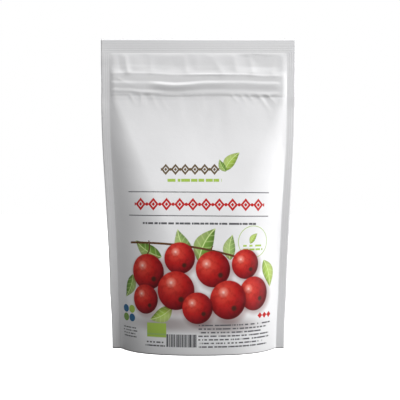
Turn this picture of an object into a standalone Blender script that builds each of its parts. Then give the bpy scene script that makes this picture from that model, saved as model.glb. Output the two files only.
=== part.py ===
# Stand-up food pouch with a press-to-close zip, sealed, standing upright and filled with dried jujubes.
# Metres, +Z up. The front faces -Y. The origin is on the table, under the middle of the pouch.

import math
import random

import bmesh
import bpy
from mathutils import Euler, Vector

# Driving dimensions
POUCH_WIDTH = 0.130  # edge to edge over both side seals, laid flat
POUCH_HEIGHT = 0.2064  # standing, table to top edge
FILM = 0.0003  # laminated film
CLEARANCE = 0.0003  # kept between pieces that touch on the real pouch
SIDE_SEAL = 0.0055
TOP_SEAL = 0.0094

# Swell of a panel over the flat plane of the seals
BASE_DEPTH = 0.0250  # at the foot
BELLY_DEPTH = 0.0193
BELLY_HEIGHT = 0.059  # the film tapers straight from here to the zip

# The zip band
ZIP_BOTTOM = 0.1692
ZIP_RIDGE = 0.1780  # height of the interlocked profile
ZIP_TOP = 0.1836
BAND_DEPTH = 0.0006  # swell of a panel over the flat of the band
RIDGE_DEPTH = 0.0006  # further swell over the interlocked profile
RIDGE_FLAT = 0.0024  # half the height over which that swell is full
RIDGE_REACH = 0.0045  # and where it has died away
ZIP_END_ZONE = 0.0040  # film beside a side seal that rises over the zip's end
ZONE_GROWTH = 0.42  # how fast that curved zone widens below the zip

# The bottom gusset
GUSSET_FOLD_HEIGHT = 0.030  # half its film, from a panel's foot to its fold
GUSSET_SLACK = 0.06  # film over what a straight span would take
GUSSET_END = 0.002  # gap from its end to the side seal

# One dried fruit, and how the fruits are dropped in
FRUIT_RADIUS = 0.0090
FRUIT_HALF_LENGTH = 0.0125
FRUIT_COUNT = 24
FRUIT_MOST_LEAN = math.radians(20)  # out of the plane of the seals
FRUIT_GAP = 0.0004
FRUIT_WALL_GAP = 0.0009
FILL_HEIGHT = 0.116  # above it the pouch is thinner than a fruit
DROPS = 120  # places tried for each fruit, of which the lowest is kept
DROP_STEP = 0.001
SEED = 7

HALF_ARC = POUCH_WIDTH / 2 - SIDE_SEAL  # panel film from its middle to a side seal
SEAL_FACE = CLEARANCE / 2  # inner face of a panel's seal, off the middle plane
HEADSPACE_TOP = POUCH_HEIGHT - TOP_SEAL
ZIP_HALF_LENGTH = HALF_ARC - ZIP_END_ZONE - CLEARANCE

PANEL_COLUMNS = 18  # faces across a panel between its two end zones
GUSSET_COLUMNS = 20
GUSSET_SEAL_ROWS = 1
GUSSET_HALF_ROWS = 7

FILM_COLOUR = (0.86, 0.86, 0.87, 1.0)
ZIP_COLOUR = (0.90, 0.91, 0.92, 1.0)
FRUIT_COLOUR = (0.26, 0.018, 0.012, 1.0)


def ease(share):
    """Smooth step from 0 to 1."""
    share = max(0.0, min(1.0, share))
    return share * share * (3 - 2 * share)


# Shape of a panel


def panel_depth(z):
    """Swell of the panel's middle over its seals at this height."""
    if z >= ZIP_TOP:
        return BAND_DEPTH * (1 - ease((z - ZIP_TOP) / (HEADSPACE_TOP - ZIP_TOP)))
    if z >= ZIP_BOTTOM:
        from_ridge = abs(z - ZIP_RIDGE)
        return BAND_DEPTH + RIDGE_DEPTH * ease((RIDGE_REACH - from_ridge) / (RIDGE_REACH - RIDGE_FLAT))
    taper = (BELLY_DEPTH - BAND_DEPTH) / (ZIP_BOTTOM - BELLY_HEIGHT)
    if z >= BELLY_HEIGHT:
        return BAND_DEPTH + taper * (ZIP_BOTTOM - z)
    # Below the belly a parabola carries the taper on and stands nearly upright at the foot.
    down = (BELLY_HEIGHT - z) / BELLY_HEIGHT
    start = taper * BELLY_HEIGHT
    return BELLY_DEPTH + start * down + (BASE_DEPTH - BELLY_DEPTH - start) * down**2


def panel_section(z):
    """(depth, zone, angle). The middle is flat, and beside each seal is an arc of film zone long."""
    depth = panel_depth(z)
    zone = min(HALF_ARC, ZIP_END_ZONE + ZONE_GROWTH * max(0.0, ZIP_BOTTOM - z))
    angle = 2 * depth / zone
    for _ in range(6):
        angle = 2 * depth / zone + angle**3 / 12 - angle**5 / 360
    return depth, zone, max(angle, 1e-5)


def panel_point(across, z):
    """(x, forward) of the inner face, for a distance along the film from the panel's middle."""
    depth, zone, angle = panel_section(z)
    flat = HALF_ARC - zone
    along = min(abs(across), HALF_ARC)
    turned = angle * max(0.0, along - flat) / zone
    x = min(along, flat) + zone * math.sin(turned) / angle + abs(across) - along
    forward = depth - zone * (1 - math.cos(turned)) / angle
    return math.copysign(x, across), SEAL_FACE + forward


def across_at(x, z):
    """Distance along the film of the place at x, or None outside the side seals."""
    _, zone, angle = panel_section(z)
    flat = HALF_ARC - zone
    sine = max(0.0, abs(x) - flat) * angle / zone
    if sine >= math.sin(angle):
        return None
    return min(abs(x), flat) + zone * math.asin(sine) / angle


def panel_columns():
    inner = HALF_ARC - ZIP_END_ZONE
    middle = [inner * (2 * i / PANEL_COLUMNS - 1) for i in range(PANEL_COLUMNS + 1)]
    return [-POUCH_WIDTH / 2, -HALF_ARC, *middle, HALF_ARC, POUCH_WIDTH / 2]


def panel_rows():
    """Heights of the panel's rows, closest together over the zip."""
    spans = [
        (ZIP_BOTTOM, 14),
        (ZIP_RIDGE - RIDGE_REACH, 1),
        (ZIP_RIDGE - RIDGE_FLAT, 2),
        (ZIP_RIDGE + RIDGE_FLAT, 1),
        (ZIP_RIDGE + RIDGE_REACH, 2),
        (ZIP_TOP, 1),
        (HEADSPACE_TOP, 3),
        (POUCH_HEIGHT, 1),
    ]
    rows = [0.0]
    for high, count in spans:
        low = rows[-1]
        rows += [low + (high - low) * i / count for i in range(1, count + 1)]
    return rows


# Shape of the gusset


def inside_panel(across, z):
    """(x, forward) one clearance inside the panel's inner face."""
    step = 0.0005
    x, forward = panel_point(across, z)
    x_next, forward_next = panel_point(across + step, z)
    along = Vector((x_next - x, forward_next - forward)).normalized()
    return x + along.y * CLEARANCE, forward - along.x * CLEARANCE


def gusset_seal(across):
    """(height, forward) of the top of the foot seal. What film the seal leaves has to span to the fold."""
    forward = inside_panel(across, 0)[1]
    return GUSSET_FOLD_HEIGHT - (1 + GUSSET_SLACK) * forward, forward


def gusset_height(across, share):
    """Height of the sagging film, at a share of the way from its seal to the fold. It rests on the table."""
    seal, forward = gusset_seal(across)
    sag = forward * math.sqrt(1.5 * GUSSET_SLACK)
    return max(FILM, seal - sag * (1 - (1 - share) ** 2))


def gusset_point(across, step):
    """Point of the gusset's upper face. step runs from -1 at the front panel's foot to 1 at the back's."""
    seal_share = GUSSET_SEAL_ROWS / (GUSSET_SEAL_ROWS + GUSSET_HALF_ROWS)
    from_foot = 1 - abs(step)
    seal = gusset_seal(across)[0]
    if from_foot <= seal_share:
        z = CLEARANCE + (seal - CLEARANCE) * from_foot / seal_share
        x, forward = inside_panel(across, z)
    else:
        share = (from_foot - seal_share) / (1 - seal_share)
        z = gusset_height(across, share)
        x, forward = inside_panel(across, seal)
        forward *= 1 - share
    return Vector((x, math.copysign(forward, step), z))


def gusset_top_at(x, y):
    """Height of the gusset's upper face under this place."""
    across = across_at(x, 0)
    if across is None:
        return GUSSET_FOLD_HEIGHT
    forward = gusset_seal(across)[1]
    return gusset_height(across, max(0.0, 1 - abs(y) / forward))


# Building blocks


def clear_scene():
    for obj in list(bpy.data.objects):
        bpy.data.objects.remove(obj)


def make_collection(name):
    collection = bpy.data.collections.new(name)
    bpy.context.scene.collection.children.link(collection)
    return collection


def make_material(name, colour, roughness):
    material = bpy.data.materials.new(name)
    material.use_nodes = True
    shader = material.node_tree.nodes["Principled BSDF"]
    shader.inputs["Base Color"].default_value = colour
    shader.inputs["Roughness"].default_value = roughness
    shader.inputs["Metallic"].default_value = 0.0
    return material


def add_object(name, data, collection, material):
    obj = bpy.data.objects.new(name, data)
    if not data.materials:
        data.materials.append(material)
    collection.objects.link(obj)
    return obj


def bent_grid(name, columns, rows, place):
    """A grid of faces whose corners place(column, row) sets, as a mesh shaded smooth."""
    bm = bmesh.new()
    bmesh.ops.create_grid(bm, x_segments=len(columns) - 1, y_segments=len(rows) - 1, size=1)
    for vert in bm.verts:
        column = round((vert.co.x + 1) / 2 * (len(columns) - 1))
        row = round((vert.co.y + 1) / 2 * (len(rows) - 1))
        vert.co = place(columns[column], rows[row])
    mesh = bpy.data.meshes.new(name)
    bm.to_mesh(mesh)
    bm.free()
    mesh.shade_smooth()
    return mesh


def thicken(obj, offset):
    solidify = obj.modifiers.new("film", "SOLIDIFY")
    solidify.thickness = FILM
    solidify.offset = offset


# The film pieces


def build_panels(collection, material):
    """Front and back panel, the same film turned round."""

    def place(across, z):
        x, forward = panel_point(across, z)
        return Vector((x, -forward, z))

    mesh = bent_grid("panel", panel_columns(), panel_rows(), place)
    for name, turn in (("front_panel", 0.0), ("back_panel", math.pi)):
        panel = add_object(name, mesh, collection, material)
        panel.rotation_euler.z = turn
        thicken(panel, 1)


def build_gusset(collection, material):
    reach = HALF_ARC - GUSSET_END
    columns = [reach * (2 * i / GUSSET_COLUMNS - 1) for i in range(GUSSET_COLUMNS + 1)]
    half = GUSSET_SEAL_ROWS + GUSSET_HALF_ROWS
    steps = [i / half for i in range(-half, half + 1)]
    mesh = bent_grid("gusset", columns, steps, gusset_point)
    thicken(add_object("bottom_gusset", mesh, collection, material), -1)


# The zip


def build_zip_strip(name, half_outline, collection, material):
    """A strip run along X. Each point of its outline is (y, height over the ridge, depth under it)."""
    outline = [(y, top) for y, top, _ in half_outline]
    outline += [(y, -bottom) for y, _, bottom in reversed(half_outline)]
    curve = bpy.data.curves.new(name, "CURVE")
    curve.dimensions = "2D"
    curve.fill_mode = "BOTH"
    curve.extrude = ZIP_HALF_LENGTH
    spline = curve.splines.new("POLY")
    spline.points.add(len(outline) - 1)
    for point, (y, z) in zip(spline.points, outline):
        point.co = (y, z, 0, 1)
    spline.use_cyclic_u = True
    strip = add_object(name, curve, collection, material)
    strip.location.z = ZIP_RIDGE
    strip.rotation_euler = (math.pi / 2, 0, math.pi / 2)


def build_zip(collection, material):
    """The two halves of the zip, pressed together with one clearance between them all round."""
    wall = FILM
    gap = CLEARANCE
    top = ZIP_TOP - ZIP_RIDGE - gap
    bottom = ZIP_RIDGE - ZIP_BOTTOM - gap
    near = gap / 2  # a flange's face that looks at the other flange
    far = near + wall
    floor = far + gap  # the channel's floor and the rib's root
    back = floor + wall

    stem = 0.0002
    lip = stem + gap
    head = 0.0009
    jaw = head + gap

    # Channel on the front panel: two jaws, whose lips turn in behind the rib's head.
    channel = [(-back, jaw + wall), (-far, jaw + wall)]
    channel_flange = [(-far, top, bottom), (-near, top, bottom)]
    mouth = [(-near, jaw + wall), (far, jaw + wall), (far, lip), (near, lip), (near, jaw), (-floor, jaw)]
    halves = [(y, z, z) for y, z in channel] + channel_flange + [(y, z, z) for y, z in mouth]
    build_zip_strip("zip_channel_strip", halves, collection, material)

    # Rib on the back panel: a stem with an arrow head that sits inside the channel.
    step = jaw + wall + gap
    rib = [(back, step + wall), (far, step + wall)]
    rib_flange = [(far, top, bottom), (near, top, bottom)]
    arrow = [(near, step), (floor, step), (floor, stem), (-near, stem), (-near, head), (-far, head / 2)]
    halves = [(y, z, z) for y, z in rib] + rib_flange + [(y, z, z) for y, z in arrow]
    build_zip_strip("zip_rib_strip", halves, collection, material)


# The fruits


def fruit_mesh():
    """A dried jujube on end: an ellipsoid with a dimple at each tip and shallow furrows along it."""
    furrows, furrow_depth, dimple = 5, 0.06, 0.0012
    bm = bmesh.new()
    bmesh.ops.create_uvsphere(bm, u_segments=10, v_segments=7, radius=1)
    for vert in bm.verts:
        x, y, z = vert.co
        turn = math.atan2(y, x)
        width = FRUIT_RADIUS * (1 - furrow_depth * (0.5 + 0.5 * math.cos(furrows * turn + 2 * z)))
        tip = max(0.0, abs(z) - 0.95) / 0.05
        vert.co = (x * width, y * width, z * FRUIT_HALF_LENGTH - math.copysign(dimple * tip, z))
    mesh = bpy.data.meshes.new("jujube")
    bm.to_mesh(mesh)
    bm.free()
    mesh.shade_smooth()
    return mesh


def fruit_skin():
    """Places all over an upright fruit, from its middle, that are tried against the film."""
    places = [Vector((0, 0, FRUIT_HALF_LENGTH)), Vector((0, 0, -FRUIT_HALF_LENGTH))]
    for height in (-0.8, -0.4, 0.0, 0.4, 0.8):
        width = FRUIT_RADIUS * math.sqrt(1 - height * height)
        for side in range(8):
            turn = math.tau * side / 8
            ring = Vector((width * math.cos(turn), width * math.sin(turn), 0))
            places.append(ring + Vector((0, 0, FRUIT_HALF_LENGTH * height)))
    return places


def fruit_balls(turn):
    """(offset, radius) of the three balls that stand for a turned fruit against its neighbours."""
    axis = Vector((0, 0, 1))
    axis.rotate(turn)
    end_radius = 0.78 * FRUIT_RADIUS
    end = axis * (FRUIT_HALF_LENGTH - end_radius)
    return [(Vector(), FRUIT_RADIUS), (end, end_radius), (-end, end_radius)]


def clear_of_film(middle, skin):
    for place in skin:
        x, y, z = middle + place
        across = across_at(x, z)
        if across is None or abs(y) > panel_point(across, z)[1] - FRUIT_WALL_GAP:
            return False
        if z < gusset_top_at(x, y) + FRUIT_WALL_GAP:
            return False
    return True


def clear_of_fruits(middle, balls, placed):
    for other_middle, other_balls in placed:
        if (other_middle - middle).length > 2 * FRUIT_HALF_LENGTH + FRUIT_GAP:
            continue
        for offset, radius in balls:
            for other_offset, other_radius in other_balls:
                apart = (other_middle + other_offset - middle - offset).length
                if apart < radius + other_radius + FRUIT_GAP:
                    return False
    return True


def drop_one(draw, placed):
    """(middle, turn, balls) of a fruit at the lowest free place over a spot drawn at random, or None."""
    turn = Euler((draw.uniform(-FRUIT_MOST_LEAN, FRUIT_MOST_LEAN), draw.uniform(0, math.pi), 0))
    x = draw.uniform(-1, 1) * (HALF_ARC - FRUIT_RADIUS)
    y = draw.uniform(-1, 1) * (BASE_DEPTH - FRUIT_RADIUS)
    balls = fruit_balls(turn)
    skin = fruit_skin()
    for place in skin:
        place.rotate(turn)
    for step in range(int(FILL_HEIGHT / DROP_STEP)):
        middle = Vector((x, y, FRUIT_RADIUS + step * DROP_STEP))
        if clear_of_fruits(middle, balls, placed) and clear_of_film(middle, skin):
            return middle, turn, balls
    return None


def build_fruits(collection, material):
    draw = random.Random(SEED)
    mesh = fruit_mesh()
    placed = []
    for number in range(1, FRUIT_COUNT + 1):
        drops = [drop_one(draw, placed) for _ in range(DROPS)]
        middle, turn, balls = min(filter(None, drops), key=lambda drop: drop[0].z)
        placed.append((middle, balls))
        fruit = add_object(f"jujube_{number:02d}", mesh, collection, material)
        fruit.location = middle
        fruit.rotation_euler = turn


def main():
    clear_scene()
    pouch = make_collection("stand_up_pouch")
    film = make_material("white_film", FILM_COLOUR, 0.38)
    zip_plastic = make_material("zip_plastic", ZIP_COLOUR, 0.30)
    skin = make_material("dried_skin", FRUIT_COLOUR, 0.45)
    build_panels(pouch, film)
    build_gusset(pouch, film)
    build_zip(pouch, zip_plastic)
    build_fruits(pouch, skin)


main()
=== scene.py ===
import math

import bpy
import numpy as np
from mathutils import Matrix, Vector, noise


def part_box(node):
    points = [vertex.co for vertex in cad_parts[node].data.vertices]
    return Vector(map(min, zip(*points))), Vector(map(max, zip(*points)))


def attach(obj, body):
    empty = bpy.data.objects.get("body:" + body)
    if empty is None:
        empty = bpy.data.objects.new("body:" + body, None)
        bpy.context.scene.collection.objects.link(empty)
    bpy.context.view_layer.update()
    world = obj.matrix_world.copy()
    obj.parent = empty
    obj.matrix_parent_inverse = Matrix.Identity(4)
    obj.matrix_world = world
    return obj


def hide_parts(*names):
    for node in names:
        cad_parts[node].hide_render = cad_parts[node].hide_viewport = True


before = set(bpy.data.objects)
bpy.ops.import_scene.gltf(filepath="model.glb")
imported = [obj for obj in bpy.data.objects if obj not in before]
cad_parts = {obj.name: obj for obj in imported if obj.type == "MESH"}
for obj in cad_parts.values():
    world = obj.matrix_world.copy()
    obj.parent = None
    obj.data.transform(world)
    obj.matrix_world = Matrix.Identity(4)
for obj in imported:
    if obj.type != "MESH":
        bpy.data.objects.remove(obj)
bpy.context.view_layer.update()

# Film shapes are worked out in millimetres, and mm brings them into the frame's metres.
mm = 0.001


# Camera and lights

cameraLook = {
    "lens": 67.4,
    "distance": 500,  # from the plane of the seals
    "height": 98.9,
    "aside": 1.1,  # the pouch stands a little left of the middle of the picture
}

lightLook = [  # name, place, aimed at, width, height, power
    ("keySoftbox", (900, -800, 2300), (10, 0, 95), 1100, 1100, 73.4),
    ("rimSoftbox", (430, -60, 225), (20, 0, 150), 160, 220, 1.4),
    ("fillSoftbox", (-500, -400, 940), (0, 0, 90), 420, 420, 3.4),
    ("backSoftbox", (-500, 1300, 1100), (0, 30, 90), 900, 900, 24.0),  # lights only the back panel
]

stageLook = {
    "floorSize": 9000,
    "floorColour": (0.93, 0.93, 0.93, 1),
    "floorRoughness": 0.9,
    "floorGlow": (0.82, 1.0),  # near the pouch and far from it, which keeps the floor white
    "glowReach": (0.1, 0.9),  # metres from the middle of the pouch
    "floorBounce": (0.06, 0.15),  # what the floor gives back to the pouch, near it and far from it
    "bounceReach": (0.065, 0.13),
    "worldLight": 0.05,
}


def makeCamera(look):
    camera = bpy.data.objects.new("camera", bpy.data.cameras.new("camera"))
    bpy.context.scene.collection.objects.link(camera)
    camera.data.lens = look["lens"]
    camera.data.clip_start = 0.01
    camera.location = Vector((look["aside"], -look["distance"], look["height"])) * mm
    camera.rotation_euler = (math.pi / 2, 0, 0)
    bpy.context.scene.camera = camera


def makeLights(lights):
    for name, place, target, width, height, power in lights:
        lamp = bpy.data.lights.new(name, "AREA")
        lamp.shape = "RECTANGLE"
        lamp.size = width * mm
        lamp.size_y = height * mm
        lamp.energy = power
        softbox = bpy.data.objects.new(name, lamp)
        bpy.context.scene.collection.objects.link(softbox)
        softbox.location = Vector(place) * mm
        softbox.rotation_euler = (Vector(place) - Vector(target)).to_track_quat("Z", "Y").to_euler()


def makeWorld(look):
    world = bpy.data.worlds.new("studio")
    bpy.context.scene.world = world
    world.use_nodes = True
    tree = world.node_tree
    background = tree.nodes["Background"]
    seen = tree.nodes.new("ShaderNodeLightPath").outputs["Is Camera Ray"]
    strength = tree.nodes.new("ShaderNodeMapRange")
    tree.links.new(seen, strength.inputs["Value"])
    strength.inputs["To Min"].default_value = look["worldLight"]
    strength.inputs["To Max"].default_value = 1.0
    tree.links.new(strength.outputs["Result"], background.inputs["Strength"])
    background.inputs["Color"].default_value = (1, 1, 1, 1)


def makeFloor(look):
    bpy.ops.object.select_all(action="DESELECT")
    bpy.ops.mesh.primitive_plane_add(size=look["floorSize"] * mm, location=(0, 0, 0))
    floor = bpy.context.object
    floor.name = "floor"
    material = bpy.data.materials.new("paleFloor")
    material.use_nodes = True
    tree = material.node_tree
    shader = tree.nodes["Principled BSDF"]
    shader.inputs["Base Color"].default_value = look["floorColour"]
    shader.inputs["Roughness"].default_value = look["floorRoughness"]
    shader.inputs["Emission Color"].default_value = (1, 1, 1, 1)
    away = tree.nodes.new("ShaderNodeVectorMath")
    away.operation = "LENGTH"
    tree.links.new(tree.nodes.new("ShaderNodeTexCoord").outputs["Object"], away.inputs[0])
    bounce = tree.nodes.new("ShaderNodeBsdfDiffuse")
    for reach, values, socket in (
        (look["glowReach"], look["floorGlow"], shader.inputs["Emission Strength"]),
        (look["bounceReach"], look["floorBounce"], bounce.inputs["Color"]),
    ):
        share = tree.nodes.new("ShaderNodeMapRange")
        share.inputs["From Min"].default_value, share.inputs["From Max"].default_value = reach
        share.inputs["To Min"].default_value, share.inputs["To Max"].default_value = values
        tree.links.new(away.outputs["Value"], share.inputs["Value"])
        tree.links.new(share.outputs["Result"], socket)
    seen = tree.nodes.new("ShaderNodeLightPath").outputs["Is Camera Ray"]
    mix = tree.nodes.new("ShaderNodeMixShader")
    tree.links.new(seen, mix.inputs["Fac"])
    tree.links.new(bounce.outputs["BSDF"], mix.inputs[1])
    tree.links.new(shader.outputs["BSDF"], mix.inputs[2])
    tree.links.new(mix.outputs["Shader"], tree.nodes["Material Output"].inputs["Surface"])
    floor.data.materials.append(material)


makeCamera(cameraLook)
makeLights(lightLook)
makeWorld(stageLook)
makeFloor(stageLook)
bpy.context.scene.view_settings.view_transform = "Standard"
print("stage: camera, lights and floor")


# The film's shape, the same curves as the CAD panels with the zip, seals and creases drawn out

panelLow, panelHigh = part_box("front_panel")

pouch = {
    "width": (panelHigh.x - panelLow.x) / mm,
    "height": panelHigh.z / mm,
    "sideSeal": 5.5,
    "topSeal": 9.4,
    "film": 0.2,
    "sealFace": 0.21,  # outer face of a seal, off the middle plane
    "zipBottom": 169.2,
    "zipFoot": 166.0,  # below it the film hangs free of the zip
    "bandSwell": 0.6,
    "bellyHeight": 59.0,
    "bellySwell": 19.3,
    "footSwell": -panelLow.y / mm - 0.45,
    "endZone": 4.0,
    "zoneGrowth": 0.42,
    "lag": 1.3,  # the film leaves the zip slowly
    "lagHeights": (84, 138),  # none at the first, all of it at the second
    "sealFlare": 0.5,  # beside a seal the film leaves the plane of the seals gently
    "flareShare": 0.32,  # how far that reaches, as a share of the curved zone
    "flareHeights": (15, 60),
}

halfFilm = pouch["width"] / 2 - pouch["sideSeal"]  # from the middle of a panel to a side seal
sealBottom = pouch["height"] - pouch["topSeal"]

zipLook = {
    "band": [  # height and swell, from the top seal down
        (sealBottom, 0.0), (196.2, 0.14), (193.0, 0.22), (189.0, 0.36), (186.0, 0.62), (184.4, 0.86),
        (183.5, 1.02), (182.6, 1.11), (169.9, 1.14), (169.1, 1.02), (168.2, 1.05),
        (pouch["zipFoot"], 1.144),
    ],
    "edges": (169, 182),  # heights of the lower and the upper edge
    # The zip isn't straight: how far its upper and lower edges rise, as (across, rise).
    "upperEdge": [(-60, 0.4), (-48, 0.4), (-34, 0.3), (-15, -0.7), (8, -0.5), (28, -0.6), (46, -1.5),
                  (60, -1.5)],
    "lowerEdge": [(-60, -0.5), (-48, -0.5), (-34, -0.6), (-15, -1.5), (8, -0.8), (28, -1.3), (46, -1.9),
                  (60, -1.9)],
}

# Ridges along the zip. The gains and the rises of the crest are listed as (across, value).
frontRidges = [  # crest, reach above it, reach below it, lift, gains, rises
    (
        183.1, 1.0, 1.6, 0.10,
        [(-60, 0.2), (-48, 0.4), (-34, 0.5), (-15, 0.5), (5, 1.6), (30, 1.0), (46, 0.6), (51, 0.6),
         (55.5, 0.0)],
        [(-60, 0.0), (60, 0.0)],
    ),
    (
        177.1, 2.1, 4.2, 0.38,
        [(-60, 0.5), (-45, 0.6), (-36, 0.4), (-24, 1.5), (-12, 1.5), (5, 1.0), (28, 0.7), (51, 0.75),
         (55.5, 0.1)],
        [(-60, -0.6), (-34, -0.8), (-15, -0.8), (8, 0.1), (28, 0.35), (46, 0.5), (60, 0.5)],
    ),
    (
        171.2, 2.0, 1.9, 0.13,
        [(-60, 1.2), (-50, 1.2), (-40, 1.5), (-32, 1.5), (-20, 0.2), (5, 0.6), (28, 0.9), (46, 1.4),
         (51, 1.2), (55.5, 0.2)],
        [(-60, 1.2), (-48, 1.0), (-36, 0.0), (60, 0.0)],
    ),
]

backRidges = [
    (183.0, 1.1, 1.6, 0.10, [(-60, 0.8), (0, 1.2), (60, 0.8)], [(-60, 0.0), (60, 0.0)]),
    (178.0, 2.6, 3.4, 0.28, [(-60, 0.8), (-20, 1.1), (20, 0.8), (60, 1.1)], [(-60, 0.5), (60, 0.5)]),
    (170.9, 2.0, 1.3, 0.08, [(-60, 1.0), (0, 0.5), (60, 1.2)], [(-60, 0.0), (60, 0.0)]),
]

# Near the floor the film is held out by the gusset, so its curve is squarer there.
footLook = {
    "bulge": 0.3,
    "bulgeHeight": 34,
    "squareness": 0.5,
    "squareHeights": (80, 25),  # none at the first, all of it from the second down
}

swayLook = {  # how the welded edges wander out of the plane
    "side": 0.5,
    "sideWave": 23,
    "sideStarts": (2.9, 0.8),  # left and right
    "held": 0.8,  # the zip keeps them straight between these heights
    "heldHeights": (158, 168, 187, 195),
    "top": 0.3,
    "topWave": 27,
    "topFrom": 186,
}

rippleLook = {  # across, height and depth of the film's soft ripples
    "broad": (26, 30, 0.34),
    "upright": (8, 22, 0.22),
    "uprightHeights": (120, 180),  # none at the first, all of it at the second
    "held": 0.85,  # the zip keeps the film flat between these heights
    "heldHeights": (165, 169, 184, 188),
}

edgeFade = {"side": 4, "top": 3}  # creases and ripples die out this close to the seals

# Each crease is a line from (across, z) to (across, z), with its half width and its lift.
frontCreases = [
    (-47.2, 184.8, -50.5, 204.0, 1.9, 0.44),
    (-51.8, 185.5, -54.0, 197.0, 1.3, -0.16),
    (-31.5, 185.5, -32.0, 195.0, 2.2, 0.16),
    (-7.8, 185.0, -9.5, 196.0, 2.6, 0.22),
    (15.4, 184.5, 7.4, 196.0, 2.8, 0.24),
    (25.0, 186.0, 23.0, 197.0, 2.4, 0.18),
    (36.0, 184.5, 34.0, 197.0, 2.4, 0.26),
    (49.0, 184.0, 51.0, 194.0, 2.6, 0.20),
    (-53.0, 179.5, -44.0, 175.0, 1.2, 0.11),
    (-45.3, 168.4, -42.0, 162.5, 0.9, 0.17),
    (-38.2, 168.6, -38.0, 163.0, 0.9, 0.21),
    (-34.5, 168.0, -33.4, 162.0, 1.2, -0.13),
    (-31.0, 168.0, -27.5, 160.0, 1.2, 0.15),
    (-24.5, 166.0, -21.0, 159.5, 1.2, 0.10),
    (-10.0, 168.0, -8.0, 158.0, 2.0, -0.08),
    (2.5, 168.4, 3.6, 156.0, 1.5, 0.08),
    (22.5, 168.4, 26.0, 164.0, 0.9, 0.20),
    (28.5, 168.2, 31.5, 163.5, 0.9, 0.17),
    (33.5, 168.2, 37.0, 164.0, 0.9, 0.20),
    (40.5, 168.0, 46.5, 159.5, 1.2, 0.22),
    (46.5, 168.4, 51.5, 163.0, 0.9, 0.21),
    (43.5, 167.5, 49.0, 160.0, 0.9, -0.14),
    (-57.5, 166.0, -50.0, 146.0, 2.4, 0.14),
    (57.0, 166.0, 50.0, 143.0, 2.6, 0.13),
]

backCreases = [
    (-47.0, 197.0, -43.0, 185.0, 2.0, 0.26),
    (-18.0, 195.5, -15.0, 186.0, 2.2, 0.18),
    (12.0, 196.0, 9.0, 185.5, 2.0, 0.22),
    (38.0, 197.0, 44.0, 185.5, 1.8, 0.30),
    (-49.0, 168.2, -43.0, 159.0, 1.2, 0.24),
    (-39.0, 168.2, -36.0, 162.0, 1.0, 0.20),
    (-20.0, 168.0, -19.0, 161.0, 1.2, 0.14),
    (8.0, 168.2, 10.0, 160.0, 1.2, 0.16),
    (30.0, 168.2, 33.0, 162.5, 1.0, 0.22),
    (41.0, 168.2, 47.0, 159.0, 1.2, 0.24),
    (-46.0, 118.0, -22.0, 74.0, 4.5, 0.35),
    (47.0, 128.0, 26.0, 90.0, 4.5, 0.30),
    (-50.0, 30.0, -30.0, 16.0, 3.5, 0.30),
]

# The seed picks a panel's own ripples. The flare's reach is given at the foot and well above it.
frontLook = {"seed": 1.7, "ridges": frontRidges, "creases": frontCreases, "flareReach": (2.6, 8.0)}
backLook = {"seed": 8.3, "ridges": backRidges, "creases": backCreases, "flareReach": (2.6, 2.6)}


def ease(share):
    share = max(0.0, min(1.0, share))
    return share * share * (3 - 2 * share)


def between(knots, height):
    for (high, highValue), (low, lowValue) in zip(knots, knots[1:]):
        if height >= low:
            share = min(1.0, (height - low) / (high - low))
            return lowValue + (highValue - lowValue) * share
    return knots[-1][1]


def softBetween(knots, height, blur=0.22):  # rounds the corners of the drawn profile
    return sum(between(knots, height + blur * step) for step in (-2, -1, 0, 1, 2)) / 5


def listed(pairs, across):  # the value at a distance across, eased from one listed pair to the next
    for (left, leftValue), (right, rightValue) in zip(pairs, pairs[1:]):
        if across <= right:
            return leftValue + (rightValue - leftValue) * ease((across - left) / (right - left))
    return pairs[-1][1]


def zipSwell(ridges, across, z):
    upper, lower = listed(zipLook["upperEdge"], across), listed(zipLook["lowerEdge"], across)
    bottom, top = zipLook["edges"]
    share = ease((z - bottom) / (top - bottom))
    fadeOut = ease((sealBottom - z) / 10) * ease((z - pouch["zipFoot"]) / 2)
    z -= (lower + (upper - lower) * share) * fadeOut
    swell = softBetween(zipLook["band"], z)
    for crest, above, below, lift, gains, rises in ridges:
        crest += listed(rises, across)
        reach = above if z > crest else below
        swell += lift * listed(gains, across) * ease(1 - abs(z - crest) / reach)
    return swell


def panelSwell(ridges, across, z):
    if z >= sealBottom:
        return 0.0
    if z >= pouch["zipFoot"]:
        return zipSwell(ridges, across, z)
    taper = (pouch["bellySwell"] - pouch["bandSwell"]) / (pouch["zipBottom"] - pouch["bellyHeight"])
    if z >= pouch["bellyHeight"]:
        none, full = pouch["lagHeights"]
        caughtUp = max(0.0, (z - full) / (pouch["zipFoot"] - full)) ** 2
        lag = pouch["lag"] * (1 - caughtUp) * ease((z - none) / (full - none))
        return pouch["bandSwell"] + taper * (pouch["zipBottom"] - z) - lag
    down = 1 - z / pouch["bellyHeight"]
    start = taper * pouch["bellyHeight"]
    rest = pouch["footSwell"] - pouch["bellySwell"] - start
    return pouch["bellySwell"] + start * down + rest * down**2


def hold(look, z):  # what is left of a movement at a height, least over the zip
    low, lowFull, highFull, high = look["heldHeights"]
    return 1 - look["held"] * ease((z - low) / (lowFull - low)) * ease((high - z) / (high - highFull))


def creaseLift(creases, across, z):
    lift = 0.0
    for x0, z0, x1, z1, width, height in creases:
        reach = 3.2 * width
        if z > max(z0, z1) + reach or z < min(z0, z1) - reach:
            continue
        run = Vector((x1 - x0, z1 - z0))
        spot = Vector((across - x0, z - z0))
        share = max(0.0, min(1.0, spot.dot(run) / run.length_squared))
        off = (spot - run * share).length
        if off < reach:
            fade = 1 - 0.75 * share  # deepest where the film leaves the zip or the seal
            lift += height * fade * math.exp(-((off / width) ** 1.6))
    return lift


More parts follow.
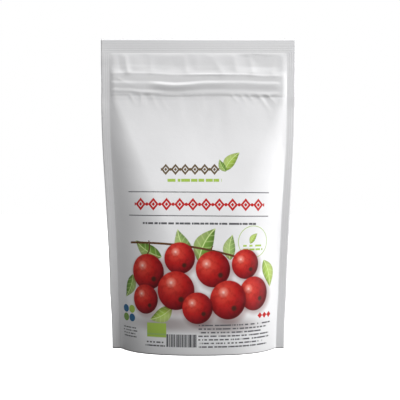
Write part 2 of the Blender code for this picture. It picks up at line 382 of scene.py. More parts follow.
def sway(across, z):  # both films wander together, so their seals stay welded
    edge = (abs(across) / (pouch["width"] / 2)) ** 8
    start = swayLook["sideStarts"][across > 0]
    side = swayLook["side"] * math.sin(z / swayLook["sideWave"] + start) * edge * hold(swayLook, z)
    above = max(0.0, (z - swayLook["topFrom"]) / (pouch["height"] - swayLook["topFrom"]))
    top = swayLook["top"] * math.sin(across / swayLook["topWave"] + 0.5) * above**1.5
    return side * (1 - above) + top


def filmPoint(across, z, look):  # (x, distance from the middle plane) of the outer face
    depth = panelSwell(look["ridges"], across, z)
    zone = min(halfFilm, pouch["endZone"] + pouch["zoneGrowth"] * max(0.0, pouch["zipBottom"] - z))
    angle = 2 * depth / zone
    for _ in range(6):
        angle = 2 * depth / zone + angle**3 / 12 - angle**5 / 360
    angle = max(angle, 1e-5)
    flat = halfFilm - zone
    along = min(abs(across), halfFilm)
    turned = angle * max(0.0, along - flat) / zone
    x = min(along, flat) + zone * math.sin(turned) / angle + abs(across) - along
    forward = depth - zone * (1 - math.cos(turned)) / angle
    fromSeal = halfFilm - along
    least, most = look["flareReach"]
    low, high = pouch["flareHeights"]
    most = min(most, pouch["flareShare"] * zone)
    reach = least + (most - least) * ease((z - low) / (high - low))
    forward *= 1 - pouch["sealFlare"] * math.exp(-fromSeal / reach)
    if depth > 0:
        share = forward / depth
        bulge = footLook["bulge"] * math.sin(math.pi * min(1.0, z / footLook["bulgeHeight"]))
        none, full = footLook["squareHeights"]
        square = footLook["squareness"] * ease((none - z) / (none - full))
        forward += bulge * share + depth * square * share * max(0.0, 1 - share)
        loose = ease((halfFilm - abs(across)) / edgeFade["side"]) * ease((sealBottom - z) / edgeFade["top"])
        forward += creaseLift(look["creases"], across, z) * loose
        loose *= hold(rippleLook, z)
        wide, tall, broad = rippleLook["broad"]
        broad *= noise.noise(Vector((across / wide, z / tall, look["seed"])))
        wide, tall, upright = rippleLook["upright"]
        upright *= noise.noise(Vector((across / wide, z / tall, look["seed"] + 3)))
        low, high = rippleLook["uprightHeights"]
        forward += loose * (broad + upright * ease((z - low) / (high - low)))
    return math.copysign(x, across), pouch["sealFace"] + max(0.0, forward)


def frontPlace(across, z):
    x, forward = filmPoint(across, z, frontLook)
    return x, -forward + sway(x, z), z


def backPlace(across, z):
    x, forward = filmPoint(across, z, backLook)
    return -x, forward + sway(-x, z), z


def spread(spans):  # heights or distances, (end, count) from one end to the other
    places = [spans[0][0]]
    for end, count in spans[1:]:
        start = places[-1]
        places += [start + (end - start) * step / count for step in range(1, count + 1)]
    return places


# Closer together beside the seals and over the zip, where the film bends most.
halfColumns = spread([(0, 0), (54, 66), (57.5, 6), (halfFilm, 5), (60.2, 3), (pouch["width"] / 2, 5)])
panelColumns = [-across for across in reversed(halfColumns[1:])] + halfColumns
panelRows = spread([
    (0, 0), (14, 16), (60, 34), (150, 66), (160, 14), (168, 14), (185.6, 56), (sealBottom - 0.6, 20),
    (sealBottom + 0.6, 4), (pouch["height"], 8),
])

mapSize = 264  # millimetres across the whole of a film's own map
mapRim = (0.006, 0.004)  # how far the cut edge is opened out on it, as a share of the distance


def filmSheet(name, columns, rows, place, thickness, materials):
    bpy.ops.object.select_all(action="DESELECT")
    bpy.ops.mesh.primitive_grid_add(x_subdivisions=len(columns) - 1, y_subdivisions=len(rows) - 1, size=2)
    sheet = bpy.context.object
    sheet.name = sheet.data.name = name
    spots = []
    for vertex in sheet.data.vertices:
        column = columns[round((vertex.co.x + 1) / 2 * (len(columns) - 1))]
        row = rows[round((vertex.co.y + 1) / 2 * (len(rows) - 1))]
        spots.append((column, row))
        vertex.co = Vector(place(column, row)) * mm
    faces = len(sheet.data.polygons)
    for material in materials:
        sheet.data.materials.append(material)
    solidify = sheet.modifiers.new("film", "SOLIDIFY")
    solidify.thickness = thickness * mm
    solidify.offset = -1
    solidify.material_offset = 1
    solidify.material_offset_rim = 1
    bpy.ops.object.modifier_apply(modifier="film")
    bpy.ops.object.shade_smooth()
    layFilmMap(sheet, spots, faces, columns, rows)
    return sheet


# The film unrolled, with its inner face beside its outer one and the cut edge as a narrow rim.
def layFilmMap(sheet, spots, faces, columns, rows):
    mesh = sheet.data
    while mesh.uv_layers:
        mesh.uv_layers.remove(mesh.uv_layers[0])
    layer = mesh.uv_layers.new(name="OFBake")
    middle = (rows[0] + rows[-1]) / 2
    for polygon in mesh.polygons:
        for loop in polygon.loop_indices:
            index = mesh.loops[loop].vertex_index
            across, along = spots[index % len(spots)]
            u = across - columns[0] + 1
            v = along - rows[0] + 1
            if faces <= polygon.index < 2 * faces:
                u += mapSize / 2
            elif polygon.index >= 2 * faces and index >= len(spots):
                u += across * mapRim[0]
                v += (along - middle) * mapRim[1]
            layer.data[loop].uv = (u / mapSize, v / mapSize)


# Shader helpers

def wire(tree, value, socket):
    if isinstance(value, bpy.types.NodeSocket):
        tree.links.new(value, socket)
    else:
        socket.default_value = value


def calc(tree, operation, *values):
    node = tree.nodes.new("ShaderNodeMath")
    node.operation = operation
    for value, socket in zip(values, node.inputs):
        wire(tree, value, socket)
    return node.outputs["Value"]


def fade(tree, value, start, end, low=0.0, high=1.0):  # smooth step
    node = tree.nodes.new("ShaderNodeMapRange")
    node.interpolation_type = "SMOOTHSTEP"
    node.clamp = False  # a smooth step ends by itself, and a clamp for each costs Cycles too much room
    for label, number in (("From Min", start), ("From Max", end), ("To Min", low), ("To Max", high)):
        wire(tree, number, node.inputs[label])
    wire(tree, value, node.inputs["Value"])
    return node.outputs["Result"]


def over(tree, mask, under, top, mode="MIX"):
    node = tree.nodes.new("ShaderNodeMix")
    node.data_type = "RGBA"
    node.blend_type = mode
    colours = [socket for socket in node.inputs if socket.type == "RGBA"]
    wire(tree, mask, node.inputs["Factor"])
    wire(tree, under, colours[0])
    wire(tree, top, colours[1])
    return [socket for socket in node.outputs if socket.type == "RGBA"][0]


def ramp(tree, value, stops):
    node = tree.nodes.new("ShaderNodeValToRGB")
    band = node.color_ramp
    while len(band.elements) < len(stops):
        band.elements.new(0.5)
    for element, (position, colour) in zip(band.elements, stops):
        element.position = position
        element.color = (*colour, 1)
    wire(tree, value, node.inputs["Fac"])
    return node.outputs["Color"]


def noiseHeight(tree, vector, scale, detail=2.0, roughness=0.5):
    node = tree.nodes.new("ShaderNodeTexNoise")
    wire(tree, vector, node.inputs["Vector"])
    node.inputs["Scale"].default_value = scale
    node.inputs["Detail"].default_value = detail
    node.inputs["Roughness"].default_value = roughness
    return node.outputs["Fac"]


def parts(tree, vector):
    node = tree.nodes.new("ShaderNodeSeparateXYZ")
    wire(tree, vector, node.inputs["Vector"])
    return node.outputs["X"], node.outputs["Y"]


def newGroup(name, inputs, outputs):
    tree = bpy.data.node_groups.new(name, "ShaderNodeTree")
    kinds = {"f": "NodeSocketFloat", "v": "NodeSocketVector", "c": "NodeSocketColor"}
    for label, kind in inputs:
        tree.interface.new_socket(name=label, in_out="INPUT", socket_type=kinds[kind])
    for label, kind in outputs:
        tree.interface.new_socket(name=label, in_out="OUTPUT", socket_type=kinds[kind])
    return tree, tree.nodes.new("NodeGroupInput").outputs, tree.nodes.new("NodeGroupOutput").inputs


def stamp(tree, group, **values):
    node = tree.nodes.new("ShaderNodeGroup")
    node.node_tree = group
    for label, value in values.items():
        wire(tree, value, node.inputs[label])
    return node.outputs


def ownSpace(tree, given):  # a motif's own coordinates, -1 to 1 over its size
    turn = tree.nodes.new("ShaderNodeCombineXYZ")
    wire(tree, given["Turn"], turn.inputs["Z"])
    node = tree.nodes.new("ShaderNodeMapping")
    node.vector_type = "TEXTURE"
    wire(tree, given["Vector"], node.inputs["Vector"])
    wire(tree, given["Place"], node.inputs["Location"])
    wire(tree, turn.outputs["Vector"], node.inputs["Rotation"])
    wire(tree, given["Size"], node.inputs["Scale"])
    return node.outputs["Vector"]


def awayFrom(tree, vector, spot):
    node = tree.nodes.new("ShaderNodeVectorMath")
    node.operation = "DISTANCE"
    wire(tree, vector, node.inputs[0])
    node.inputs[1].default_value = spot
    return node.outputs["Value"]


def darkened(tree, colour, share):
    return over(tree, 1.0, colour, (share, share, share, 1), "MULTIPLY")


motifInputs = [
    ("Under", "c"), ("Vector", "v"), ("Place", "v"), ("Size", "v"), ("Turn", "f"), ("Tint", "c"),
]


def makePrintedLeaf():
    tree, given, out = newGroup("printedLeaf", motifInputs, [("Colour", "c")])
    along, aside = parts(tree, ownSpace(tree, given))
    square = calc(tree, "MULTIPLY", along, along)
    bent = calc(tree, "MULTIPLY_ADD", square, 0.35, calc(tree, "SUBTRACT", aside, 0.12))
    reach = calc(tree, "MULTIPLY", calc(tree, "SUBTRACT", 1.0, square),
                 calc(tree, "MAXIMUM", 0.1, calc(tree, "MULTIPLY_ADD", along, -0.32, 0.95)))
    off = calc(tree, "ABSOLUTE", bent)
    gap = calc(tree, "SUBTRACT", reach, off)
    mask = fade(tree, gap, 0.0, 0.10)
    rib = fade(tree, off, 0.09, 0.02)
    wave = calc(tree, "SINE", calc(tree, "MULTIPLY_ADD", off, -6.0, calc(tree, "MULTIPLY", along, 17.0)))
    vein = calc(tree, "MULTIPLY", fade(tree, wave, 0.55, 1.0), 0.35)
    shaded = over(tree, fade(tree, gap, 0.0, 0.8), darkened(tree, given["Tint"], 0.55), given["Tint"])
    sunlit = calc(tree, "MULTIPLY", fade(tree, bent, -0.2, 0.5), 0.35)
    lit = over(tree, sunlit, shaded, (0.75, 0.85, 0.38, 1))
    veined = over(tree, calc(tree, "MAXIMUM", rib, vein), lit, (0.66, 0.80, 0.34, 1))
    wire(tree, over(tree, mask, given["Under"], veined), out["Colour"])
    return tree


def makePrintedBerry():
    tree, given, out = newGroup("printedBerry", motifInputs, [("Colour", "c")])
    local = ownSpace(tree, given)
    radius = awayFrom(tree, local, (0, 0, 0))
    mask = fade(tree, radius, 1.0, 0.95)
    halo = calc(tree, "MULTIPLY", fade(tree, awayFrom(tree, local, (0.08, -0.12, 0)), 1.28, 0.9), 0.55)
    shadowed = over(tree, halo, given["Under"], (0.34, 0.16, 0.15, 1), "MULTIPLY")
    fromLight = calc(tree, "MULTIPLY", awayFrom(tree, local, (-0.30, 0.36, 0)), 0.68)
    skin = ramp(tree, fromLight, [
        (0.0, (1.0, 0.66, 0.60)), (0.07, (0.93, 0.30, 0.23)), (0.20, (0.70, 0.055, 0.035)),
        (0.46, (0.50, 0.014, 0.012)), (0.72, (0.27, 0.004, 0.008)), (0.92, (0.11, 0.001, 0.004)),
        (1.0, (0.20, 0.012, 0.018)),
    ])
    mottle = noiseHeight(tree, local, 3.2, 3.0, 0.6)
    skin = over(tree, fade(tree, mottle, 0.42, 0.68, 0.0, 0.45), skin, given["Tint"], "MULTIPLY")
    eye = fade(tree, awayFrom(tree, local, (0.34, -0.40, 0)), 0.20, 0.08)
    skin = over(tree, eye, skin, (0.06, 0.012, 0.006, 1))
    wire(tree, over(tree, mask, shadowed, skin), out["Colour"])
    return tree


def makePrintedBar():  # a bar, rule or curved twig
    tree, given, out = newGroup("printedBar", [*motifInputs, ("Bend", "f")], [("Colour", "c")])
    along, aside = parts(tree, ownSpace(tree, given))
    square = calc(tree, "MULTIPLY", along, along)
    bent = calc(tree, "MULTIPLY_ADD", square, given["Bend"], aside)
    mask = calc(tree, "MULTIPLY", fade(tree, calc(tree, "ABSOLUTE", bent), 1.05, 0.9),
                fade(tree, calc(tree, "ABSOLUTE", along), 1.005, 0.99))
    wire(tree, over(tree, mask, given["Under"], given["Tint"]), out["Colour"])
    return tree


def makePrintedDisc():
    tree, given, out = newGroup("printedDisc", [*motifInputs, ("Softness", "f")], [("Colour", "c")])
    radius = awayFrom(tree, ownSpace(tree, given), (0, 0, 0))
    inner = calc(tree, "SUBTRACT", 1.0, given["Softness"])
    mask = fade(tree, radius, 1.0, inner)
    wire(tree, over(tree, mask, given["Under"], given["Tint"]), out["Colour"])
    return tree


def makeOrnamentRow():  # lozenges with a dot between each two
    tree, given, out = newGroup("ornamentRow", [*motifInputs, ("Pitch", "f")], [("Colour", "c")])
    along, aside = parts(tree, ownSpace(tree, given))
    length, height = parts(tree, given["Size"])
    steps = calc(tree, "DIVIDE", calc(tree, "MULTIPLY", along, length), given["Pitch"])
    cell = calc(tree, "ABSOLUTE", calc(tree, "SUBTRACT", calc(tree, "FRACT", steps), 0.5))
    across = calc(tree, "MULTIPLY", cell, calc(tree, "DIVIDE", given["Pitch"], height))
    level = calc(tree, "ABSOLUTE", aside)
    lozenge = calc(tree, "ADD", calc(tree, "MULTIPLY", across, 1.2), level)
    ring = calc(tree, "ABSOLUTE", calc(tree, "SUBTRACT", lozenge, 0.76))
    shape = calc(tree, "MAXIMUM", fade(tree, ring, 0.28, 0.20), fade(tree, lozenge, 0.36, 0.28))
    edge = calc(tree, "SUBTRACT", 0.5, cell)
    dotAcross = calc(tree, "MULTIPLY", edge, calc(tree, "DIVIDE", given["Pitch"], height))
    dotAway = calc(tree, "SQRT", calc(tree, "ADD", calc(tree, "MULTIPLY", dotAcross, dotAcross),
                                      calc(tree, "MULTIPLY", level, level)))
    shape = calc(tree, "MAXIMUM", shape, fade(tree, dotAway, 0.30, 0.22))
    mask = calc(tree, "MULTIPLY", shape, fade(tree, calc(tree, "ABSOLUTE", along), 1.002, 0.998))
    wire(tree, over(tree, mask, given["Under"], given["Tint"]), out["Colour"])
    return tree


def makeDashRows():  # rows of plain dashes that fill the place of small print
    inputs = [*motifInputs, ("Rows", "f"), ("Dash", "f"), ("Weight", "f")]
    tree, given, out = newGroup("dashRows", inputs, [("Colour", "c")])
    along, aside = parts(tree, ownSpace(tree, given))
    length, _ = parts(tree, given["Size"])
    level = calc(tree, "MULTIPLY", calc(tree, "MULTIPLY_ADD", aside, 0.5, 0.5), given["Rows"])
    row = calc(tree, "FLOOR", level)
    line = fade(tree, calc(tree, "ABSOLUTE", calc(tree, "SUBTRACT", calc(tree, "FRACT", level), 0.5)),
                calc(tree, "MULTIPLY_ADD", given["Weight"], 1.0, 0.06), given["Weight"])
    steps = calc(tree, "DIVIDE", calc(tree, "MULTIPLY", along, length), given["Dash"])
    rowPlace = calc(tree, "MULTIPLY", row, 5.37)
    spot = tree.nodes.new("ShaderNodeCombineXYZ")
    wire(tree, steps, spot.inputs["X"])
    wire(tree, rowPlace, spot.inputs["Y"])
    words = fade(tree, noiseHeight(tree, spot.outputs["Vector"], 1.0, 1.0), 0.41, 0.45)
    end = tree.nodes.new("ShaderNodeTexWhiteNoise")
    end.noise_dimensions = "1D"
    wire(tree, row, end.inputs["W"])
    ragged = calc(tree, "MULTIPLY_ADD", end.outputs["Value"], 0.35, 0.66)
    mask = calc(tree, "MULTIPLY", calc(tree, "LESS_THAN", along, ragged),
                calc(tree, "GREATER_THAN", along, -1.0))
    mask = calc(tree, "MULTIPLY", mask, calc(tree, "LESS_THAN", calc(tree, "ABSOLUTE", aside), 1.0))
    mask = calc(tree, "MULTIPLY", mask, calc(tree, "MULTIPLY", line, words))
    wire(tree, over(tree, mask, given["Under"], given["Tint"]), out["Colour"])
    return tree


def makeUprightBars():
    tree, given, out = newGroup("uprightBars", motifInputs, [("Colour", "c")])
    local = ownSpace(tree, given)
    along, aside = parts(tree, local)
    spot = tree.nodes.new("ShaderNodeCombineXYZ")
    wire(tree, along, spot.inputs["X"])
    bars = fade(tree, noiseHeight(tree, spot.outputs["Vector"], 15.0, 2.0, 0.6), 0.45, 0.49)
    inside = calc(tree, "MULTIPLY", calc(tree, "LESS_THAN", calc(tree, "ABSOLUTE", along), 1.0),
                  calc(tree, "LESS_THAN", calc(tree, "ABSOLUTE", aside), 1.0))
    mask = calc(tree, "MULTIPLY", bars, inside)
    wire(tree, over(tree, mask, given["Under"], given["Tint"]), out["Colour"])
    return tree


ribLook = {"sidePitch": 1.35, "topPitch": 1.55, "height": 0.38}


def makeFilmFinish():  # height of the seals' ribs and the film's ripples, and how its gloss varies
    tree, given, out = newGroup("filmFinish", [("Vector", "v"), ("Half Width", "f"), ("Seal Foot", "f")],
                                [("Height", "f"), ("Gloss", "f"), ("Seal", "f")])
    across, level = parts(tree, given["Vector"])
    side = fade(tree, calc(tree, "ABSOLUTE", across), given["Half Width"],
                calc(tree, "ADD", given["Half Width"], 0.3))
    top = fade(tree, level, given["Seal Foot"], calc(tree, "ADD", given["Seal Foot"], 0.3))
    upright = calc(tree, "SINE", calc(tree, "MULTIPLY", across, 2 * math.pi / ribLook["sidePitch"]))
    level = calc(tree, "SUBTRACT", level, given["Seal Foot"])
    flat = calc(tree, "SINE", calc(tree, "MULTIPLY", level, 2 * math.pi / ribLook["topPitch"]))
    flat = calc(tree, "MULTIPLY", flat, fade(tree, level, 9.0, 0.5, 0.35, 1.0))
    onlySide = calc(tree, "MULTIPLY", side, calc(tree, "SUBTRACT", 1.0, top))
    ribs = calc(tree, "ADD", calc(tree, "MULTIPLY", upright, onlySide), calc(tree, "MULTIPLY", flat, top))
    ripple = noiseHeight(tree, given["Vector"], 0.16, 3.0, 0.55)
    fine = noiseHeight(tree, given["Vector"], 1.6, 2.0, 0.5)
    height = calc(tree, "MULTIPLY_ADD", ripple, 1.6, calc(tree, "MULTIPLY", fine, 0.10))
    wire(tree, calc(tree, "MULTIPLY_ADD", ribs, ribLook["height"], height), out["Height"])
    wire(tree, fade(tree, ripple, 0.3, 0.7), out["Gloss"])
    wire(tree, calc(tree, "MAXIMUM", side, top), out["Seal"])
    return tree


printedLeaf = makePrintedLeaf()
printedBerry = makePrintedBerry()
printedBar = makePrintedBar()
printedDisc = makePrintedDisc()
ornamentRow = makeOrnamentRow()
dashRows = makeDashRows()
uprightBars = makeUprightBars()
filmFinish = makeFilmFinish()
print("shader groups made")


# The print, in millimetres on the unrolled film

inks = {
    "white": (0.86, 0.86, 0.87, 1),
    "slate": (0.11, 0.11, 0.12, 1),
    "grey": (0.30, 0.30, 0.31, 1),
    "umber": (0.14, 0.095, 0.045, 1),
    "red": (0.55, 0.018, 0.016, 1),
    "leaf": (0.19, 0.36, 0.055, 1),
    "paleLeaf": (0.34, 0.52, 0.16, 1),
    "lime": (0.40, 0.58, 0.09, 1),
    "twig": (0.13, 0.055, 0.02, 1),
    "blue": (0.02, 0.14, 0.30, 1),
    "shadow": (0.44, 0.40, 0.40, 1),
    "mottle": (0.42, 0.10, 0.10, 1),
}

# A print is its motifs from the lowest up, each with the names of its own values. An entry is the place
# across and up, half width, half height, turn in degrees, ink, and then the motif's own values.
frontPrint = [
    (printedDisc, ["Softness"], [  # the round badge
        (36.3, 71.7, 10.6, 10.6, 0, "lime", 0.02),
        (36.3, 71.7, 10.2, 10.2, 0, "white", 0.02),
    ]),
    (dashRows, ["Rows", "Dash", "Weight"], [
        (36.8, 68.0, 7.6, 2.4, 0, "lime", 2.0, 2.2, 0.22),
    ]),
    (printedDisc, ["Softness"], [  # soft shadows under the berries
        (-20, 20, 34, 8, 0, "shadow", 0.85),
        (14, 19, 40, 8, 0, "shadow", 0.85),
    ]),
    (printedLeaf, [], [
        (21.5, 124.6, 8.4, 4.0, 50, "lime"),
        (15.6, 121.4, 4.8, 2.4, 118, "leaf"),
        (4.5, 70.5, 12.5, 6.6, 63, "leaf"),
        (-10.0, 70.5, 10.5, 5.4, 116, "paleLeaf"),
        (-33.5, 66.5, 11.0, 5.2, 150, "leaf"),
        (20.5, 68.5, 8.5, 4.4, 84, "paleLeaf"),
        (48.5, 51.0, 9.8, 4.8, -72, "lime"),
        (-47.5, 42.5, 8.5, 4.2, -114, "leaf"),
        (-24.0, 25.5, 9.0, 5.0, -152, "lime"),
        (36.3, 74.2, 4.4, 2.2, 52, "lime"),
    ]),
    (printedBar, ["Bend"], [  # the twig and two stalks
        (-3.0, 68.5, 43.0, 0.70, -9, "twig", 6.0),
        (-32.0, 67.5, 5.0, 0.46, -100, "twig", 3.0),
        (8.5, 66.0, 3.0, 0.46, -80, "twig", -3.0),
    ]),
    (printedBerry, [], [
        (-12.0, 61.5, 10.2, 10.4, -6, "mottle"),
        (31.0, 57.5, 9.6, 9.8, 8, "mottle"),
        (-33.5, 52.5, 11.6, 11.8, 4, "mottle"),
        (9.5, 54.5, 11.4, 11.8, 12, "mottle"),
        (37.5, 38.5, 10.8, 11.2, 14, "mottle"),
        (-35.5, 35.0, 9.3, 9.6, 0, "mottle"),
        (-14.5, 41.0, 12.4, 12.6, -8, "mottle"),
        (19.5, 35.0, 12.4, 12.6, -5, "mottle"),
        (-0.5, 30.0, 10.0, 10.2, 7, "mottle"),
    ]),
    (printedBar, ["Bend"], [  # rules over and under the row
        (0.3, 104.0, 47.0, 0.30, -0.45, "slate", 0.0),
        (0.3, 88.6, 47.0, 0.30, -0.45, "slate", 0.0),
    ]),
    (ornamentRow, ["Pitch"], [
        (0.8, 96.0, 43.0, 4.2, -0.45, "red", 8.6),
        (-5.4, 119.0, 19.2, 3.7, 0, "umber", 6.4),
    ]),
    (dashRows, ["Rows", "Dash", "Weight"], [
        (-1.2, 111.8, 19.0, 1.5, 0, "lime", 1.0, 2.4, 0.30),
        (3.5, 83.6, 40.0, 1.4, -0.45, "slate", 1.0, 1.5, 0.20),
        (26.0, 12.4, 26.0, 7.9, 0, "slate", 7.0, 1.3, 0.17),
        (-28.0, 7.0, 7.5, 2.2, 0, "slate", 2.0, 1.2, 0.18),
        (-48.5, 13.0, 6.5, 3.8, 0, "slate", 4.0, 1.1, 0.16),
    ]),
    (uprightBars, [], [
        (-10.8, 9.4, 9.8, 4.0, 0, "slate"),
    ]),
    (printedBar, ["Bend"], [  # a swatch and three lozenges
        (-27.5, 15.8, 6.8, 4.6, 0, "lime", 0.0),
        (-27.5, 13.2, 6.8, 0.5, 0, "paleLeaf", 0.0),
        (42.4, 24.2, 1.4, 1.4, 45, "red", 0.0),
        (46.2, 24.2, 1.4, 1.4, 45, "red", 0.0),
        (50.0, 24.2, 1.4, 1.4, 45, "red", 0.0),
    ]),
    (printedDisc, ["Softness"], [
        (-51.8, 28.0, 2.6, 2.6, 0, "blue", 0.06),
        (-46.4, 28.0, 2.6, 2.6, 0, "lime", 0.06),
        (-51.8, 22.4, 2.6, 2.6, 0, "leaf", 0.06),
        (-46.4, 22.4, 2.6, 2.6, 0, "blue", 0.06),
    ]),
]

backPrint = [
    (printedLeaf, [], [
        (4.6, 142.0, 8.5, 3.8, 55, "leaf"),
        (-4.6, 142.0, 8.5, 3.8, 125, "lime"),
        (0.0, 138.0, 6.0, 2.6, 90, "paleLeaf"),
    ]),
    (ornamentRow, ["Pitch"], [
        (0.0, 124.0, 38.0, 2.6, 0, "red", 7.6),
    ]),
    (dashRows, ["Rows", "Dash", "Weight"], [
        (0.0, 100.0, 42.0, 13.0, 0, "grey", 7.0, 1.9, 0.15),
    ]),
    (printedBar, ["Bend"], [  # the lines of a table
        (0.0, 79.0 - 6.4 * line, 42.0, 0.16, 0, "grey", 0.0) for line in range(8)
    ]),
    (dashRows, ["Rows", "Dash", "Weight"], [
        (-22.0, 56.6, 18.0, 22.4, 0, "grey", 7.0, 1.8, 0.12),
        (33.0, 56.6, 6.0, 22.4, 0, "grey", 7.0, 1.2, 0.12),
        (0.0, 20.0, 42.0, 5.5, 0, "grey", 3.0, 1.9, 0.15),
    ]),
]


def layPrint(tree, vector, design):
    colour = inks["white"]
    for motif, labels, entries in design:
        for across, height, wide, high, turn, ink, *values in entries:
            own = dict(zip(labels, values))
            colour = stamp(tree, motif, Under=colour, Vector=vector, Place=(across, height, 0),
                           Size=(wide, high, 1), Turn=math.radians(turn), Tint=inks[ink], **own)["Colour"]
    return colour


# Materials

filmLook = {
    "roughness": 0.36,
    "glossRange": 0.07,
    "bump": 0.35,
    "bumpDepth": 0.00012,
    "coat": 0.15,
    "coatRoughness": 0.22,
    "sealGrey": 0.02,  # the seals are drawn a little darker than the loose film
}

bareLook = {  # film without print
    "colour": (0.82, 0.82, 0.83),
    "roughness": 0.42,
    "grain": 160.0,
    "bumpDepth": 0.00006,
    "stretch": (1, 1, 1),
}

plasticLook = {  # the zip strips, drawn out along their length
    "colour": (0.84, 0.85, 0.86),
    "roughness": 0.32,
    "grain": 900.0,
    "bumpDepth": 0.00003,
    "stretch": (0.02, 1, 1),
}

skinLook = {  # the dried fruits
    "dark": (0.13, 0.007, 0.005, 1),
    "light": (0.30, 0.026, 0.015, 1),
    # painted shade: the colour drawn into the skin's folds, darker than the skin
    "fold": (0.09, 0.006, 0.004, 1),
    "roughness": (0.55, 0.34),  # in a fold and on the skin
    "bump": 0.8,
    "bumpDepth": 0.0006,
}


def addBump(tree, shader, height, strength, depth):
    bump = tree.nodes.new("ShaderNodeBump")
    bump.inputs["Strength"].default_value = strength
    bump.inputs["Distance"].default_value = depth
    wire(tree, height, bump.inputs["Height"])
    wire(tree, bump.outputs["Normal"], shader.inputs["Normal"])


def filmMaterial(name, design, look):
    material = bpy.data.materials.new(name)
    material.use_nodes = True
    tree = material.node_tree
    shader = tree.nodes["Principled BSDF"]
    place = tree.nodes.new("ShaderNodeUVMap")
    place.uv_map = "OFBake"
    scale = tree.nodes.new("ShaderNodeMapping")
    wire(tree, place.outputs["UV"], scale.inputs["Vector"])
    scale.inputs["Scale"].default_value = (mapSize, mapSize, 1)
    scale.inputs["Location"].default_value = (-pouch["width"] / 2 - 1, -1, 0)
    vector = scale.outputs["Vector"]
    edges = {"Half Width": halfFilm, "Seal Foot": sealBottom}
    finish = stamp(tree, filmFinish, Vector=vector, **edges)
    sealed = calc(tree, "MULTIPLY", finish["Seal"], look["sealGrey"])
    colour = over(tree, sealed, layPrint(tree, vector, design), (0.0, 0.0, 0.0, 1))
    wire(tree, colour, shader.inputs["Base Color"])
    low = look["roughness"] - look["glossRange"] / 2
    high = look["roughness"] + look["glossRange"] / 2
    wire(tree, fade(tree, finish["Gloss"], 0.0, 1.0, low, high), shader.inputs["Roughness"])
    addBump(tree, shader, finish["Height"], look["bump"], look["bumpDepth"])
    shader.inputs["IOR"].default_value = 1.5
    shader.inputs["Coat Weight"].default_value = look["coat"]
    shader.inputs["Coat Roughness"].default_value = look["coatRoughness"]
    return material


def plainMaterial(name, look):
    material = bpy.data.materials.new(name)
    material.use_nodes = True
    tree = material.node_tree
    shader = tree.nodes["Principled BSDF"]
    place = tree.nodes.new("ShaderNodeTexCoord")
    mapping = tree.nodes.new("ShaderNodeMapping")
    wire(tree, place.outputs["Object"], mapping.inputs["Vector"])
    mapping.inputs["Scale"].default_value = look["stretch"]
    grain = noiseHeight(tree, mapping.outputs["Vector"], look["grain"], 3.0)
    darker = tuple(0.93 * part for part in look["colour"]) + (1,)
    wire(tree, over(tree, grain, darker, (*look["colour"], 1)), shader.inputs["Base Color"])
    gloss = fade(tree, grain, 0.2, 0.8, look["roughness"] - 0.04, look["roughness"] + 0.04)
    wire(tree, gloss, shader.inputs["Roughness"])
    addBump(tree, shader, grain, 0.5, look["bumpDepth"])
    return material


def skinMaterial(name, look):
    material = bpy.data.materials.new(name)
    material.use_nodes = True
    tree = material.node_tree
    shader = tree.nodes["Principled BSDF"]
    place = tree.nodes.new("ShaderNodeTexCoord").outputs["Object"]
    folds = noiseHeight(tree, place, 260.0, 3.0, 0.5)
    crease = calc(tree, "ABSOLUTE", calc(tree, "SUBTRACT", folds, 0.5))
    wrinkle = fade(tree, crease, 0.0, 0.13)
    tone = noiseHeight(tree, place, 60.0, 2.0)
    skin = over(tree, tone, look["dark"], look["light"])
    # painted shade: the folds are drawn darker than the rest of the skin
    wire(tree, over(tree, wrinkle, look["fold"], skin), shader.inputs["Base Color"])
    wire(tree, fade(tree, wrinkle, 0.0, 1.0, *look["roughness"]), shader.inputs["Roughness"])
    addBump(tree, shader, wrinkle, look["bump"], look["bumpDepth"])
    return material


frontFilm = filmMaterial("frontFilm", frontPrint, filmLook)
backFilm = filmMaterial("backFilm", backPrint, filmLook)
bareFilm = plainMaterial("bareFilm", bareLook)
zipPlastic = plainMaterial("zipPlastic", plasticLook)
driedSkin = skinMaterial("driedJujubeSkin", skinLook)
print("materials made")


# The pieces

frontPiece = filmSheet("frontFilmPanel", panelColumns, panelRows, frontPlace, pouch["film"],
                       [frontFilm, bareFilm])
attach(frontPiece, "root")
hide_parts("front_panel")
print("front panel:", len(frontPiece.data.polygons), "faces")

backPiece = filmSheet("backFilmPanel", panelColumns, panelRows, backPlace, pouch["film"],
                      [backFilm, bareFilm])
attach(backPiece, "root")
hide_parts("back_panel")
print("back panel:", len(backPiece.data.polygons), "faces")


gussetLook = {
    "halfWidth": 59.2,
    "halfLength": 30.0,
    "slack": 0.06,
    "film": 0.15,
    "gap": 0.04,  # between the gusset and a panel
    "foot": 0.15,  # its cut edge stands this much off the floor
    "wrinkle": 0.35,
    "wrinkleSize": (6, 16),
}


# (x, forward) just inside a panel's inner face. The side is 1 in front and -1 at the back.
def insidePanel(side, across, z, step=0.3):
    look = frontLook if side > 0 else backLook
    x, forward = filmPoint(side * across, z, look)
    nextX, nextForward = filmPoint(side * across + step, z, look)
    run = Vector((nextX - x, nextForward - forward)).normalized()
    depth = pouch["film"] + gussetLook["gap"]
    return side * (x + run.y * depth), forward - run.x * depth


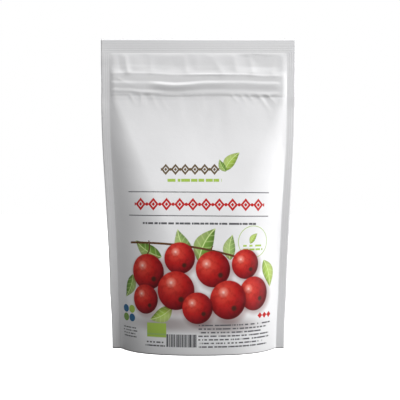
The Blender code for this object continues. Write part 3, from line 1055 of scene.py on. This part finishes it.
def gussetPlace(across, along):  # along runs over the film, from the front foot to the back foot
    side = 1 if along > 0 else -1
    forward = max(0.05, insidePanel(side, across, 0)[1])
    seal = gussetLook["halfLength"] - (1 + gussetLook["slack"]) * forward
    fromFoot = gussetLook["halfLength"] - abs(along)
    if fromFoot <= seal:
        z = max(gussetLook["foot"], fromFoot)
        x, forward = insidePanel(side, across, z)
        return x, -side * max(0.02, forward) + sway(x, z), z
    share = (fromFoot - seal) / (gussetLook["halfLength"] - seal)
    x, forward = insidePanel(side, across, seal)
    sag = forward * math.sqrt(1.5 * gussetLook["slack"])
    z = seal - sag * (1 - (1 - share) ** 2)
    wide, long = gussetLook["wrinkleSize"]
    ripple = noise.noise(Vector((across / wide, along / long, 4.4)))
    z += gussetLook["wrinkle"] * ripple * share * ease((z - 0.5) / 3)
    return x, -side * max(0.02, forward * (1 - share)) + sway(x, z), max(0.05, z)


gussetColumns = spread([(-gussetLook["halfWidth"], 0), (-54, 12), (54, 72), (gussetLook["halfWidth"], 12)])
gussetRows = spread([(gussetLook["halfLength"], 0), (-gussetLook["halfLength"], 60)])
gussetPiece = filmSheet("bottomGusset", gussetColumns, gussetRows, gussetPlace, gussetLook["film"],
                        [bareFilm, bareFilm])
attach(gussetPiece, "root")
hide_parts("bottom_gusset")
print("bottom gusset:", len(gussetPiece.data.polygons), "faces")


fruitLook = {
    "segments": 56,
    "rings": 36,
    "fullness": 0.985,  # of the CAD fruit's own radius
    "dimple": 0.07,
    "folds": [  # noise scale around the fruit and along it, width of a fold, share of the radius
        (2.1, 0.75, 0.13, 0.085),
        (4.3, 1.3, 0.15, 0.045),
        (9.0, 5.0, 0.20, 0.015),
    ],
    "dents": 0.05,
    "seedStep": 11.7,  # gives each fruit its own wrinkles
}


def fruitFrame(node):  # middle, axis, length and radius of a CAD fruit
    points = np.array([vertex.co[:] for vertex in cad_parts[node].data.vertices])
    middle = (points.max(axis=0) + points.min(axis=0)) / 2
    for _ in range(3):
        axis = np.linalg.svd(points - middle, full_matrices=False)[2][0]
        along = (points - middle) @ axis
        middle = middle + axis * (along.max() + along.min()) / 2
    aside = np.linalg.norm(points - middle - np.outer((points - middle) @ axis, axis), axis=1)
    return Vector(middle), Vector(axis), along.max() - along.min(), aside.max()


def foldDepth(spot, seed):
    warp = 0.5 * noise.noise(spot * 1.7 + Vector((seed, 3.1, 0.0)))
    depth = fruitLook["dents"] * max(0.0, noise.noise(spot * 1.1 + Vector((7.3, seed, 1.0))))
    for around, along, width, most in fruitLook["folds"]:
        place = Vector((spot.x * around + warp, spot.y * around, spot.z * along + warp))
        crossing = noise.noise(place + Vector((0.0, seed, around)))
        depth += most * math.exp(-((crossing / width) ** 2))
    return depth


def driedFruit(name, node, seed):
    middle, axis, length, radius = fruitFrame(node)
    bpy.ops.object.select_all(action="DESELECT")
    bpy.ops.mesh.primitive_uv_sphere_add(segments=fruitLook["segments"], ring_count=fruitLook["rings"],
                                         radius=1)
    fruit = bpy.context.object
    fruit.name = fruit.data.name = name
    turn = axis.to_track_quat("Z", "Y")
    for vertex in fruit.data.vertices:
        spot = vertex.co.copy()
        size = fruitLook["fullness"] - foldDepth(spot, seed)
        tip = fruitLook["dimple"] * ease((abs(spot.z) - 0.93) / 0.07)
        girth = radius * size
        place = Vector((spot.x * girth, spot.y * girth, spot.z * length / 2 * (size - tip)))
        vertex.co = middle + turn @ place
    bpy.ops.object.shade_smooth()
    fruit.data.materials.append(driedSkin)
    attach(fruit, "root")
    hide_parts(node)


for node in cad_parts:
    if node.startswith("zip"):  # kept as the CAD has them
        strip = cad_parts[node].data
        strip.materials.clear()
        strip.materials.append(zipPlastic)
    elif node.startswith("jujube"):
        number = int(node[-2:])
        driedFruit(f"driedJujube{number:02d}", node, fruitLook["seedStep"] * number)
print("zip strips and fruits made")
